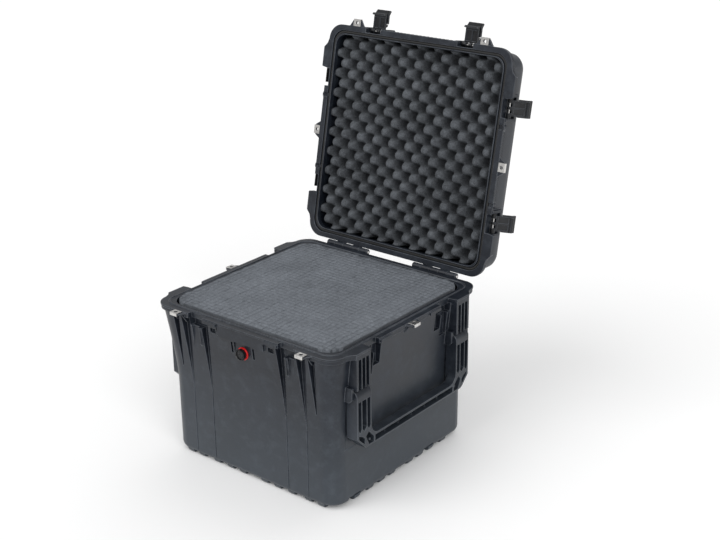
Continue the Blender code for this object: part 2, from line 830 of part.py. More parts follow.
def build_valve(finish_of):
    stem = new_object("valve_stem", lambda body: add_disc(body, VALVE_STEM, 237.0, 259.6, 20))
    collar = new_object("valve_collar", lambda body: add_disc(body, VALVE_COLLAR, 249.4, 252.4))
    carve(collar, lambda body: add_disc(body, VALVE_STEM + GAP, 240.0, 260.0, 20))
    knob = new_object("valve_knob", lambda body: add_disc(body, VALVE_KNOB, 252.8, 262.5, 32, 1.2))
    carve(knob, lambda body: add_disc(body, VALVE_STEM + GAP, 240.0, 260.0, 20))
    dress(stem, finish_of["case"])
    dress(collar, finish_of["red"])
    dress(knob, finish_of["latch"])


# ---------------------------------------------------------------- the case
def build_case():
    for thing in list(bpy.data.objects):
        bpy.data.objects.remove(thing, do_unlink=True)
    finish_of = finishes()
    lid = Pivot("pivot_lid", (0.0, HINGE_OUT, RIM), None, -LID_OPEN)

    dress(base_shell(), finish_of["case"])
    dress(base_foam(), finish_of["foam"])
    lid.hold(dress(lid_shell(), finish_of["case"]))
    lid.hold(dress(lid_foam(), finish_of["lid_foam"]))
    lid.hold(dress(lid_seal(), finish_of["seal"]))

    for end, at in (("left", -HINGE_AT), ("right", HINGE_AT)):
        dress(hinge_pin(f"hinge_pin_{end}", at), finish_of["steel"], True)

    clip_names = ("front_left", "front_right", "right", "left")
    for label, (side, at) in zip(clip_names, LUG_PLACES):
        low = RIM - LUG_BOTTOM - CLIP_THICKNESS - GAP
        high = RIM - LUG_TOP + CLIP_THICKNESS + GAP
        dress(lock_clip(f"base_clip_{label}", side, at, low, high), finish_of["steel"])
        mirror = 2.0 * RIM + MATING_GAP
        clip = lock_clip(f"lid_clip_{label}", side, at, mirror - high, mirror - low)
        lid.hold(dress(clip, finish_of["steel"]))

    for side, at in LATCH_PLACES:
        opened = FRONT_LATCH_OPEN if side == "front" else SIDE_LATCH_OPEN
        add_latch(side, at, lid, finish_of, opened)

    for side in ("right", "left"):
        sign = 1.0 if side == "right" else -1.0
        place = (sign * HANDLE_PIVOT_OUT, 0.0, RIM - HANDLE_PIVOT_DOWN)
        swing = Pivot(f"pivot_handle_{side}", place)
        swing.hold(dress(handle(f"handle_{side}", side), finish_of["case"]))
        for end, low, high in (("front", -ARM_OUT - 6.6, -ARM_IN + 7.6),
                               ("back", ARM_IN - 7.6, ARM_OUT + 6.6)):
            dress(handle_pin(f"handle_pin_{side}_{end}", side, low, high), finish_of["steel"], True)

    build_valve(finish_of)


build_case()
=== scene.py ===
import json
import math

import bmesh
import bpy
import numpy as np
from mathutils import Matrix, Vector


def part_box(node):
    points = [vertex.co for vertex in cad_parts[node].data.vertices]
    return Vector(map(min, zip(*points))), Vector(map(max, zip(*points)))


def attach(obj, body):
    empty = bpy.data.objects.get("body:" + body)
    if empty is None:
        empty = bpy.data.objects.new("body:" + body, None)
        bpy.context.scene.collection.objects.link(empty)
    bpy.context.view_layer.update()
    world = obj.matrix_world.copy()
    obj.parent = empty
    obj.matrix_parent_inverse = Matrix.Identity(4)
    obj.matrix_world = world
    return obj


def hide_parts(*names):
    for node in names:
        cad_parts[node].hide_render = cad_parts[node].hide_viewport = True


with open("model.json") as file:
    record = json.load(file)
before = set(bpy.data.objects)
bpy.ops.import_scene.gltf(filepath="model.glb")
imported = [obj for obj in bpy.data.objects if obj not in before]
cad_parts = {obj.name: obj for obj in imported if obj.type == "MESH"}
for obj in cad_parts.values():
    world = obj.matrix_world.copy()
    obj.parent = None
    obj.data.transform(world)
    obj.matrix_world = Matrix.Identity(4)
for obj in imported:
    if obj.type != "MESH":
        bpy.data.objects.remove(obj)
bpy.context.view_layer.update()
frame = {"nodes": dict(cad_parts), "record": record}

# ---------------------------------------------------------------- base shell
# The lower half of the case: an injection-moulded polypropylene box with a thick rim, tapering
# channels between its ribs, latch catches, padlock ears, handle pillars, hinge knuckles and feet.
MM = 0.001
hinge_low, hinge_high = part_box("hinge_pin_left")
RIM = (hinge_low[2] + hinge_high[2]) / 2.0 / MM
HINGE_OUT = (hinge_low[1] + hinge_high[1]) / 2.0 / MM
HALF = 260.0
PAST_WALL = HALF + 5.0
FLANGE = 13.0
FLANGE_CORNER = 36.0
CORNER_STEPS = 12
CAVITY = 235.5
CAVITY_CORNER = 39.0
LATCH_AT = 131.0
NOTCH_HALF = 21.5
NOTCH_DEPTH = 11.0
HANDLE_FACE = 273.0
ARM_IN = 154.0
ARM_OUT = 202.0
LUG_OUT = 275.4
LUG_PLACES = (("front", -181.0), ("front", 181.0), ("right", 0.0), ("left", 0.0))
LATCH_PLACES = tuple(
    (side, sign * LATCH_AT) for side in ("front", "right", "left") for sign in (-1.0, 1.0)
)
LOCK_OUT = 268.5
LOCK_BORE = 4.6
FEET_AT = (33.0, 71.0, 112.0, 160.0, 196.0)
CHANNELS = ((98.0, 121.0, 186.0), (153.0, 180.0, 192.0), (186.5, 205.0, 145.0))
HANDLE_PIVOT = (256.0, 102.0)
HANDLE_BORE = 4.3
VALVE_DOWN = 57.0
VALVE_BORE = 8.3
HINGES_AT = (-130.0, 130.0)
HINGE_LONG = 124.0
KNUCKLES = 5
KNUCKLE_GAP = 0.3
KNUCKLE_RADIUS = 7.4
HINGE_BORE = 3.3
EDGE_ROUND = 0.9


def feed(port, value):
    """Links a wire to a socket, or sets the socket's own value."""
    if isinstance(value, Wire):
        port.id_data.links.new(value.socket, port)
    else:
        port.default_value = value


class Wire:
    """A socket that grows Math nodes when it is used in an expression."""

    def __init__(self, socket):
        self.socket = socket

    def maths(self, operation, *values):
        node = self.socket.id_data.nodes.new("ShaderNodeMath")
        node.operation = operation
        for port, value in zip(node.inputs, values):
            feed(port, value)
        return Wire(node.outputs[0])

    def __add__(self, other):
        return self.maths("ADD", self, other)

    __radd__ = __add__

    def __mul__(self, other):
        return self.maths("MULTIPLY", self, other)

    __rmul__ = __mul__


class Finish:
    """A material built from nodes round one Principled shader."""

    def __init__(self, name, **sockets):
        self.material = bpy.data.materials.new(name)
        self.material.use_nodes = True
        self.tree = self.material.node_tree
        self.tree.nodes.clear()
        output = self.tree.nodes.new("ShaderNodeOutputMaterial")
        self.shader = self.tree.nodes.new("ShaderNodeBsdfPrincipled")
        self.tree.links.new(self.shader.outputs[0], output.inputs[0])
        self.place = self.node("TexCoord", output="Object")
        self.set(sockets)

    def node(self, kind, settings=(), sockets=(), output=0):
        node = self.tree.nodes.new("ShaderNode" + kind)
        for key, value in dict(settings).items():
            setattr(node, key, value)
        for key, value in dict(sockets).items():
            port = next(port for port in node.inputs if key in (port.identifier, port.name))
            feed(port, value)
        if isinstance(output, str):
            return Wire(next(o for o in node.outputs if output in (o.identifier, o.name)))
        return Wire(node.outputs[output])

    def set(self, sockets):
        for key, value in dict(sockets).items():
            feed(self.shader.inputs[key], value)

    def noise(self, scale, detail=3.0, roughness=0.5, place=None):
        return self.node("TexNoise", sockets={
            "Vector": place or self.place, "Scale": scale, "Detail": detail,
            "Roughness": roughness})

    def limits(self, value, low, high, start=0.0, end=1.0):
        """Stretches value so that low to high becomes start to end, held at the ends."""
        return self.node("MapRange", sockets={
            "Value": value, "From Min": low, "From Max": high, "To Min": start, "To Max": end})

    def blend(self, mask, first, second):
        return self.node("Mix", {"data_type": "RGBA"}, {
            "Factor_Float": mask, "A_Color": first, "B_Color": second}, "Result_Color")

    def bump(self, height, distance, strength=1.0, under=None):
        sockets = {"Height": height, "Distance": distance, "Strength": strength}
        if under:
            sockets["Normal"] = under
        return self.node("Bump", sockets=sockets)


def moulded_plastic(name, dark, light, smooth, rough, grain, dust_and_sheen):
    """Fine-grained black polypropylene with soft mottling, faint rubs, a little pale dust and a
    painted sheen that turns it paler towards the bottom, standing in for the pale floor's
    reflection.
    """
    finish = Finish(name, IOR=1.41)
    clouds = finish.noise(7.0, 4.0, 0.6)
    patches = finish.noise(38.0, 5.0, 0.65)
    mottle = finish.noise(230.0, 3.0, 0.7)
    pits = finish.noise(1300.0, 2.0, 0.6)
    stretched = finish.node("Mapping", sockets={
        "Vector": finish.place, "Rotation": (0.3, 0.5, 0.2), "Scale": (1.0, 9.0, 3.0)})
    streaks = finish.noise(46.0, 6.0, 0.7, stretched)
    rubs = finish.limits(streaks, 0.60, 0.74)
    # Painted reflection: the colour turns paler towards the bottom, where the pale floor is
    # reflected.
    height = finish.node("SeparateXYZ", sockets={"Vector": finish.place}, output="Z")
    painted_floor_sheen = finish.limits(height, 0.28, 0.0)
    tone = finish.limits(clouds * 0.5 + patches * 0.2 + mottle * 0.3, 0.40, 0.60)
    colour = finish.blend(tone, (*dark, 1.0), (*light, 1.0))
    pale_dust_and_sheen_colour = tuple(0.40 * c + 0.060 + 0.012 * i for i, c in enumerate(light))
    # The pale film holds real rubs and dust patches, plus the painted floor sheen low down.
    dust_and_painted_sheen = rubs * dust_and_sheen + finish.limits(patches, 0.50, 0.75) * dust_and_sheen * 0.7 + painted_floor_sheen * dust_and_sheen * 1.5
    colour = finish.blend(dust_and_painted_sheen, colour, (*pale_dust_and_sheen_colour, 1.0))
    gloss = finish.limits(clouds * 0.35 + patches * 0.35 + mottle * 0.3, 0.40, 0.60, smooth, rough)
    finish.set({
        "Base Color": colour,
        "Roughness": gloss + rubs * 0.06,
        "Normal": finish.bump(pits, 0.00014, grain, finish.bump(mottle, 0.0003, 0.25)),
    })
    return finish.material


CASE_PLASTIC = moulded_plastic(
    "case plastic", (0.0060, 0.0080, 0.0125), (0.0140, 0.0175, 0.0250), 0.30, 0.45, 0.6, 0.34)
# The rounded edges get a lighter, smoother finish: a painted highlight along the edges, where they
# catch the light.
CASE_EDGES_PAINTED_HIGHLIGHT = moulded_plastic(
    "case edges painted highlight", (0.030, 0.034, 0.042), (0.062, 0.069, 0.082), 0.24, 0.36, 0.3, 0.5)


def new_piece(name, mesh_maker):
    mesh = bpy.data.meshes.new(name)
    body = bmesh.new()
    mesh_maker(body)
    bmesh.ops.recalc_face_normals(body, faces=body.faces)
    body.to_mesh(mesh)
    body.free()
    piece = bpy.data.objects.new(name, mesh)
    bpy.context.scene.collection.objects.link(piece)
    return piece


def add_loft(body, rings, capped=True):
    """A skin over rings of points in mm, closed at both ends or joined into a hoop."""
    rows = [[body.verts.new(Vector(point) * MM) for point in ring] for ring in rings]
    count = len(rows[0])
    pairs = list(zip(rows, rows[1:])) + ([] if capped else [(rows[-1], rows[0])])
    for lower, upper in pairs:
        for i in range(count):
            j = (i + 1) % count
            body.faces.new((lower[i], lower[j], upper[j], upper[i]))
    if capped:
        body.faces.new(list(reversed(rows[0])))
        body.faces.new(rows[-1])


def add_prism(body, outline, low, high, axis="Z"):
    """An outline pushed from low to high: (x, y) along Z, (y, z) along X, (x, z) along Y."""
    place = {
        "Z": lambda a, b, c: (a, b, c),
        "X": lambda a, b, c: (c, a, b),
        "Y": lambda a, b, c: (a, c, b),
    }[axis]
    add_loft(body, [[place(a, b, c) for a, b in outline] for c in (low, high)])


def add_box(body, low, high):
    outline = ((low[0], low[1]), (high[0], low[1]), (high[0], high[1]), (low[0], high[1]))
    add_prism(body, outline, low[2], high[2])


def circle(centre, radius, steps):
    turns = [math.tau * i / steps for i in range(steps)]
    return [(centre[0] + radius * math.cos(a), centre[1] + radius * math.sin(a)) for a in turns]


def rounded_square(half, radius, steps=CORNER_STEPS):
    points = []
    for quarter in range(4):
        turn = math.radians(90 * quarter)
        for i in range(steps + 1):
            angle = math.radians(90.0 * i / steps)
            x = half - radius + radius * math.cos(angle)
            y = half - radius + radius * math.sin(angle)
            points.append((x * math.cos(turn) - y * math.sin(turn),
                           x * math.sin(turn) + y * math.cos(turn)))
    return points


def add_lofted_square(body, sections, base, capped=True):
    add_loft(body, [[(x, y, base + z) for x, y in rounded_square(half, radius)]
                    for half, radius, z in sections], capped)


def boolean(target, tool, operation):
    step = target.modifiers.new("step", "BOOLEAN")
    step.operation = operation
    step.solver = "EXACT"
    step.object = tool
    evaluated = target.evaluated_get(bpy.context.evaluated_depsgraph_get())
    result = bpy.data.meshes.new_from_object(evaluated)
    target.modifiers.clear()
    old, spent = target.data, tool.data
    target.data = result
    bpy.data.objects.remove(tool, do_unlink=True)
    bpy.data.meshes.remove(old)
    bpy.data.meshes.remove(spent)


def fuse(target, mesh_maker):
    boolean(target, new_piece("tool", mesh_maker), "UNION")


def carve(target, mesh_maker):
    boolean(target, new_piece("tool", mesh_maker), "DIFFERENCE")


def to_side(side, along, out):
    """A place on one side of the case, given along it and out from the middle."""
    return {
        "front": (along, -out),
        "right": (out, along),
        "back": (-along, out),
        "left": (-out, -along),
    }[side]


def side_outline(side, corners):
    return [to_side(side, along, out) for along, out in corners]


def side_box(body, side, along, out, up):
    """A box given by its ranges along a side, out from the middle and up."""
    corners = ((along[0], out[0]), (along[1], out[0]), (along[1], out[1]), (along[0], out[1]))
    add_prism(body, side_outline(side, corners), up[0], up[1])


def side_wedge(body, side, along, profile):
    """An (out, height) profile pushed along one side of the case."""
    if side in ("front", "back"):
        sign = -1.0 if side == "front" else 1.0
        add_prism(body, [(sign * out, z) for out, z in profile], along[0], along[1], "X")
    else:
        sign = 1.0 if side == "right" else -1.0
        add_prism(body, [(sign * out, z) for out, z in profile], along[0], along[1], "Y")


def tidy_mesh(mesh, flats):
    """Merges stray points, then joins coplanar faces into flats or splits all into triangles."""
    body = bmesh.new()
    body.from_mesh(mesh)
    bmesh.ops.remove_doubles(body, verts=body.verts, dist=0.02 * MM)
    bmesh.ops.dissolve_degenerate(body, edges=body.edges, dist=0.02 * MM)
    if flats:
        bmesh.ops.dissolve_limit(
            body, angle_limit=math.radians(0.6), verts=body.verts, edges=body.edges)
    else:
        bmesh.ops.triangulate(body, faces=body.faces)
    body.to_mesh(mesh)
    body.free()


def soften(piece, width, flats=False, highlight_slot=-1):
    """Rounds the sharp edges, as a mould does, and keeps the flats flat."""
    tidy_mesh(piece.data, flats)
    piece.data.shade_smooth()
    edge = piece.modifiers.new("edges", "BEVEL")
    edge.width = width * MM
    edge.segments = 2
    edge.limit_method = "ANGLE"
    edge.angle_limit = math.radians(38.0)
    edge.use_clamp_overlap = False
    edge.miter_outer = "MITER_SHARP"
    edge.harden_normals = True
    # The bevel's faces take the material in the given slot: the lighter edge finish, a painted
    # highlight.
    edge.material = highlight_slot
    facing = piece.modifiers.new("facing", "WEIGHTED_NORMAL")
    facing.keep_sharp = True


def dress(piece, material, slot, body, *nodes, edges=None):
    """Gives a piece its material, its body and the nodes that it stands for."""
    piece.data.materials.clear()
    piece.data.materials.append(material)
    # The second material goes on the bevels: the painted edge highlight.
    if edges:
        piece.data.materials.append(edges)
    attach(piece, body)
    if nodes:
        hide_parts(*nodes)


def rim_outline(inset=0.0):
    """The rim seen from above: latch notches on three sides, shoulders over the handle pillars."""
    half, notch_half = HALF - inset, NOTCH_HALF + inset
    notch = ((LATCH_AT - notch_half, half), (LATCH_AT - notch_half, half - NOTCH_DEPTH),
             (LATCH_AT + notch_half, half - NOTCH_DEPTH), (LATCH_AT + notch_half, half))
    shoulder = ((ARM_IN + 1.0 + inset, HANDLE_FACE - inset), (ARM_OUT - inset, HANDLE_FACE - inset),
                (ARM_OUT + 10.0 - inset, half + 4.0))
    halves = {"front": notch, "right": notch + shoulder, "back": (), "left": notch + shoulder}
    points = []
    for side in ("front", "right", "back", "left"):
        one = list(halves[side])
        points += side_outline(side, [(-along, out) for along, out in reversed(one)] + one)
        for i in range(CORNER_STEPS + 1):
            angle = math.radians(90.0 * i / CORNER_STEPS)
            along = HALF - FLANGE_CORNER + (FLANGE_CORNER - inset) * math.sin(angle)
            out = HALF - FLANGE_CORNER + (FLANGE_CORNER - inset) * math.cos(angle)
            points.append(to_side(side, along, out))
    return points


def add_lug(body, side, at, low, high):
    """The tapering ear that a padlock goes through."""
    ear = [(-26.0, 250.0), (-22.0, HALF), (-13.0, LUG_OUT - 1.4), (-10.5, LUG_OUT),
           (10.5, LUG_OUT), (13.0, LUG_OUT - 1.4), (22.0, HALF), (26.0, 250.0)]
    add_prism(body, side_outline(side, [(at + along, out) for along, out in ear]), low, high)


def hinge_segments(first):
    """Every second knuckle's range along the hinge, from its middle."""
    step, start = HINGE_LONG / KNUCKLES, -HINGE_LONG / 2.0
    return [(start + step * i + KNUCKLE_GAP, start + step * (i + 1) - KNUCKLE_GAP)
            for i in range(first, KNUCKLES, 2)]


def add_knuckles(body, first):
    for at in HINGES_AT:
        for low, high in hinge_segments(first):
            add_prism(body, circle((HINGE_OUT, RIM), KNUCKLE_RADIUS, 28), at + low, at + high, "X")


def add_webs(body, first, upward):
    """The gussets that join the knuckles to the back, clear of the rim's own face."""
    root, near, far = HALF - 2.0, RIM + 2.6 * upward, RIM + 10.5 * upward
    outline = ((root, near), (HINGE_OUT, near), (HINGE_OUT + 3.0, RIM + 6.0 * upward), (root, far))
    for at in HINGES_AT:
        for low, high in hinge_segments(first):
            add_prism(body, outline, at + low, at + high, "X")


def add_pin_holes(body):
    reach = HINGE_LONG / 2.0 + 2.0
    for at in HINGES_AT:
        add_prism(body, circle((HINGE_OUT, RIM), HINGE_BORE, 16), at - reach, at + reach, "X")


def add_lock_holes(body, low, high):
    for side, at in LUG_PLACES:
        add_prism(body, circle(to_side(side, at, LOCK_OUT), LOCK_BORE, 24), low, high)


def both_ways(inner, outer):
    """A range along a side and its mirror image."""
    return ((inner, outer), (-outer, -inner))


def build_base_shell():
    wall, flare, flare_down = 240.0, 17.4, 180.0

    def wall_half(down):
        return wall + flare * max(0.0, (flare_down - down) / flare_down) ** 1.3

    upper = [(wall_half(down), 40.0, -down)
             for down in (11.0, 34.0, 58.0, 84.0, 112.0, 144.0, flare_down)]
    lower = [(wall, 40.0, -350.0), (239.3, 39.8, -354.5), (237.6, 39.0, -358.0),
             (235.2, 38.0, -360.4), (231.5, 36.0, -361.5)]
    shell = new_piece("base_shell_visual", lambda body: add_lofted_square(body, upper + lower, RIM))

    def channels(body):
        for side in ("front", "back"):
            for inner, outer, tip in CHANNELS:
                middle = (inner + outer) / 2.0
                for sign in (-1.0, 1.0):
                    wedge = [(inner, 5.0), (outer, 5.0), (outer, -FLANGE), (middle + 1.2, -tip),
                             (middle - 1.2, -tip), (inner, -FLANGE)]
                    wedge = [(sign * x, RIM + z) for x, z in wedge]
                    outward = -1.0 if side == "front" else 1.0
                    low, high = sorted((outward * 238.6, outward * PAST_WALL))
                    add_prism(body, wedge, low, high, "Y")

    def panel_lines(body):
        line_half = 0.7
        for side in ("front", "back"):
            for at, top in ((109.5, 184.0), (166.5, 190.0)):
                for middle in (-at, at):
                    side_box(body, side, (middle - line_half, middle + line_half), (239.1, 246.0),
                             (RIM - 357.0, RIM - top))

    def latch_grooves(body):
        for along in both_ways(130.5, 149.0):
            side_box(body, "front", along, (248.0, PAST_WALL), (RIM - 92.0, RIM + 5.0))

    def catch_pockets(body):
        for side, at in LATCH_PLACES:
            side_box(body, side, (at - NOTCH_HALF, at + NOTCH_HALF), (238.5, PAST_WALL),
                     (RIM - 30.0, RIM + 5.0))
        for along in both_ways(76.0, 92.0):
            side_box(body, "front", along, (247.0, PAST_WALL), (RIM - 30.0, RIM - 19.0))

    def side_pockets(body):
        for side in ("right", "left"):
            for along in both_ways(98.0, 120.0):
                side_box(body, side, along, (238.8, PAST_WALL), (RIM - 62.0, RIM - 6.0))
            for along in both_ways(122.0, 144.0):
                side_box(body, side, along, (242.0, PAST_WALL), (RIM - 82.0, RIM + 6.0))

    def handle_recesses(body):
        for side in ("right", "left"):
            for along in both_ways(ARM_IN - 1.5, ARM_OUT + 1.5):
                side_box(body, side, along, (238.8, PAST_WALL), (RIM - 231.0, RIM - 81.0))

    for features in (channels, panel_lines, latch_grooves, catch_pockets, side_pockets,
                     handle_recesses):
        carve(shell, features)
    fuse(shell, lambda body: add_prism(body, rim_outline(1.3), RIM - FLANGE, RIM - 4.0))
    fuse(shell, lambda body: add_prism(body, rim_outline(), RIM - 4.6, RIM))

    def valve_band(body):
        side_box(body, "front", (-67.0, 67.0), (wall, 258.8), (RIM - 31.0, RIM - 4.2))

    def catches(body):
        profile = [(248.0, RIM - 13.5), (263.5, RIM - 10.2), (263.5, RIM - 3.4), (248.0, RIM - 3.2)]
        for side in ("front", "right", "left"):
            for along in both_ways(69.0, 107.0):
                side_wedge(body, side, along, profile)

    def hanging_ribs(body):
        profile = [(wall, RIM - 31.0), (256.0, RIM - 31.0), (252.5, RIM - 70.0),
                   (wall, RIM - 82.0)]
        for along in both_ways(122.5, 127.5):
            side_wedge(body, "front", along, profile)

    def lugs(body):
        for side, at in LUG_PLACES:
            add_lug(body, side, at, RIM - 5.7, RIM - 1.9)

    def lug_ribs(body):
        profile = [(246.0, RIM - 5.0), (267.0, RIM - 5.0), (260.5, RIM - 14.5), (252.0, RIM - 27.0),
                   (246.0, RIM - 27.0)]
        rib_at, rib_half = 14.5, 1.4
        for side, at in LUG_PLACES:
            for middle in (at - rib_at, at + rib_at):
                side_wedge(body, side, (middle - rib_half, middle + rib_half), profile)

    def pillars(body):
        for side in ("right", "left"):
            for along in both_ways(ARM_IN + 0.5, ARM_OUT - 0.5):
                side_box(body, side, along, (237.0, HANDLE_FACE - 0.8), (RIM - 84.0, RIM - 5.0))

    def pivot_cheeks(body):
        profile = [(236.0, RIM - 111.0), (258.0, RIM - 111.0), (265.0, RIM - 104.0),
                   (265.0, RIM - 78.0), (236.0, RIM - 78.0)]
        for side in ("right", "left"):
            for inner, outer in ((ARM_IN - 9.0, ARM_IN - 1.0), (ARM_OUT + 1.0, ARM_OUT + 8.0)):
                for along in both_ways(inner, outer):
                    side_wedge(body, side, along, profile)

    for features in (valve_band, catches, hanging_ribs, lugs, lug_ribs, pillars, pivot_cheeks):
        fuse(shell, features)

    def pillar_slots(body):
        slot_half = 4.7
        for side in ("right", "left"):
            for sign in (-1.0, 1.0):
                for middle in (165.5, 178.0, 190.5):
                    side_box(body, side, (sign * middle - slot_half, sign * middle + slot_half),
                             (246.0, HANDLE_FACE + 5.0), (RIM - 89.0, RIM - 15.5))

    def valve_seat(body):
        side_box(body, "front", (-24.0, 24.0), (249.0, PAST_WALL), (RIM - 82.0, RIM - 32.0))
        for middle in (-31.0, 31.0):
            side_box(body, "front", (middle - 2.4, middle + 2.4), (241.0, PAST_WALL),
                     (RIM - 63.0, RIM - 37.0))

    def feet(body):
        profile = [(206.0, 12.0), (206.0, 2.0), (209.0, 0.0), (228.0, 0.0), (233.0, 2.2),
                   (236.5, 8.0), (236.5, 12.0)]
        foot_half = 9.0
        for side in ("front", "right", "back", "left"):
            for at in FEET_AT if side in ("front", "back") else FEET_AT[:-1]:
                for middle in (-at, at):
                    side_wedge(body, side, (middle - foot_half, middle + foot_half), profile)
        add_box(body, (-60.0, -60.0, 0.0), (60.0, 60.0, 14.0))

    def bottom_notches(body):
        for side, way in (("right", 1.0), ("left", -1.0)):
            for start, end in ((-192.0, -152.0), (80.0, 116.0)):
                along = sorted((way * start, way * end))
                side_box(body, side, along, (228.5, 245.0), (RIM - 366.0, RIM - 351.0))

    for features in (pillar_slots, valve_seat, bottom_notches):
        carve(shell, features)
    fuse(shell, feet)
    fuse(shell, lambda body: add_knuckles(body, 0))
    fuse(shell, lambda body: add_webs(body, 0, -1.0))

    def cavity(body):
        add_lofted_square(body, ((226.0, 36.0, 18.0), (234.5, CAVITY_CORNER, 34.0),
                                 (CAVITY, CAVITY_CORNER, RIM + 10.0)), 0.0)

    def bores(body):
        add_pin_holes(body)
        add_lock_holes(body, RIM - 20.0, RIM + 5.0)
        add_prism(body, circle((0.0, RIM - VALVE_DOWN), VALVE_BORE, 28), -PAST_WALL,
                  -CAVITY + 5.0, "Y")
        for sign in (-1.0, 1.0):
            centre = (sign * HANDLE_PIVOT[0], RIM - HANDLE_PIVOT[1])
            for low, high in both_ways(ARM_IN - 8.0, ARM_OUT + 7.0):
                add_prism(body, circle(centre, HANDLE_BORE, 20), low, high, "Y")

    carve(shell, cavity)
    carve(shell, bores)
    seal_lip = new_piece("seal_lip", lambda body: add_prism(
        body, rounded_square(245.2, 30.0), RIM - 3.0, RIM + 2.4))
    carve(seal_lip, lambda body: add_prism(
        body, rounded_square(242.0, 28.0), RIM - 5.0, RIM + 5.0))
    boolean(shell, seal_lip, "UNION")
    return shell


base_shell = build_base_shell()
soften(base_shell, EDGE_ROUND, highlight_slot=1)
dress(base_shell, CASE_PLASTIC, "case", "base", "base_shell", edges=CASE_EDGES_PAINTED_HIGHLIGHT)

# ---------------------------------------------------------------- pluck foam
# The base's filling: a block of open-cell grey foam, scored from above into small square pegs
# that are pulled out by hand. It stands a little proud of the rim and is pressed in.
CELL = 12.84
FOAM_HALF = CAVITY - 4.6


def foam_material(name, dark, light, depth, hollows):
    """Open-cell foam: mottled cells, tiny dark pores, and painted shade that darkens the hollows
    the deeper they lie.
    """
    finish = Finish(name, IOR=1.35)
    pores = finish.node("TexVoronoi", {"feature": "F1"}, {
        "Vector": finish.place, "Scale": 420.0, "Randomness": 1.0}, "Distance")
    speckle = finish.noise(700.0, 4.0, 0.75)
    mottle = finish.noise(120.0, 4.0, 0.7)
    clouds = finish.noise(11.0, 3.0, 0.6)
    tone = finish.limits(speckle * 0.5 + mottle * 0.3 + clouds * 0.2, 0.40, 0.62)
    colour = finish.blend(tone, (*dark, 1.0), (*light, 1.0))
    # Dark pores, plus painted shade: the deeper a point lies in the hollows, the darker it is
    # painted.
    sunk = finish.node("Attribute", {"attribute_name": "sunk"}, output="Fac")
    pores_and_painted_hollow_shade = finish.limits(pores, 0.10, 0.42, 0.35, 0.0) + sunk * hollows
    finish.set({
        "Base Color": finish.blend(pores_and_painted_hollow_shade, colour, (*(0.25 * c for c in dark), 1.0)),
        "Roughness": finish.limits(mottle, 0.3, 0.7, 0.90, 1.0),
        "Normal": finish.bump(pores, depth, 0.8, finish.bump(speckle, depth, 0.9)),
    })
    return finish.material


def mark_hollows(foam, top, bottom):
    """Stores how far each point lies below the foam's highest one, from 0 to 1, for the painted
    shade in the hollows.
    """
    marks = foam.data.attributes.new("sunk", "FLOAT", "POINT")
    depths = [(top * MM - vertex.co.z) / ((top - bottom) * MM) for vertex in foam.data.vertices]
    marks.data.foreach_set("value", np.clip(depths, 0.0, 1.0))


def inside_rounded(x, y, half, radius):
    """Moves a point outside a rounded square onto its outline."""
    inner = half - radius
    dx, dy = max(0.0, abs(x) - inner), max(0.0, abs(y) - inner)
    reach = math.hypot(dx, dy)
    if reach > radius:
        dx, dy = dx * radius / reach, dy * radius / reach
        x = math.copysign(inner + dx if abs(x) > inner else abs(x), x)
        y = math.copysign(inner + dy if abs(y) > inner else abs(y), y)
    return x, y


def add_height_block(body, xs, ys, height, half, radius, base):
    """A block whose top follows height(i, j, x, y), cut to a rounded square."""
    grid = {}
    for i, x in enumerate(xs):
        for j, y in enumerate(ys):
            grid[i, j] = (x, y, height(i, j, x, y))
    verts = {}

    def vert(key):
        if key not in verts:
            x, y, z = grid[key]
            x, y = inside_rounded(x, y, half, radius)
            verts[key] = body.verts.new((x * MM, y * MM, z * MM))
        return verts[key]

    inner = half - radius
    for i in range(len(xs) - 1):
        for j in range(len(ys) - 1):
            x, y = (xs[i] + xs[i + 1]) / 2.0, (ys[j] + ys[j + 1]) / 2.0
            if math.hypot(max(0.0, abs(x) - inner), max(0.0, abs(y) - inner)) > radius:
                continue
            body.faces.new([vert(k) for k in ((i, j), (i + 1, j), (i + 1, j + 1), (i, j + 1))])
    rim = [edge for edge in body.edges if len(edge.link_faces) == 1]
    made = bmesh.ops.extrude_edge_only(body, edges=rim)["geom"]
    low = [item for item in made if isinstance(item, bmesh.types.BMVert)]
    for item in low:
        item.co.z = base * MM
    bottom = [item for item in made if isinstance(item, bmesh.types.BMEdge)]
    bmesh.ops.holes_fill(body, edges=bottom, sides=0)


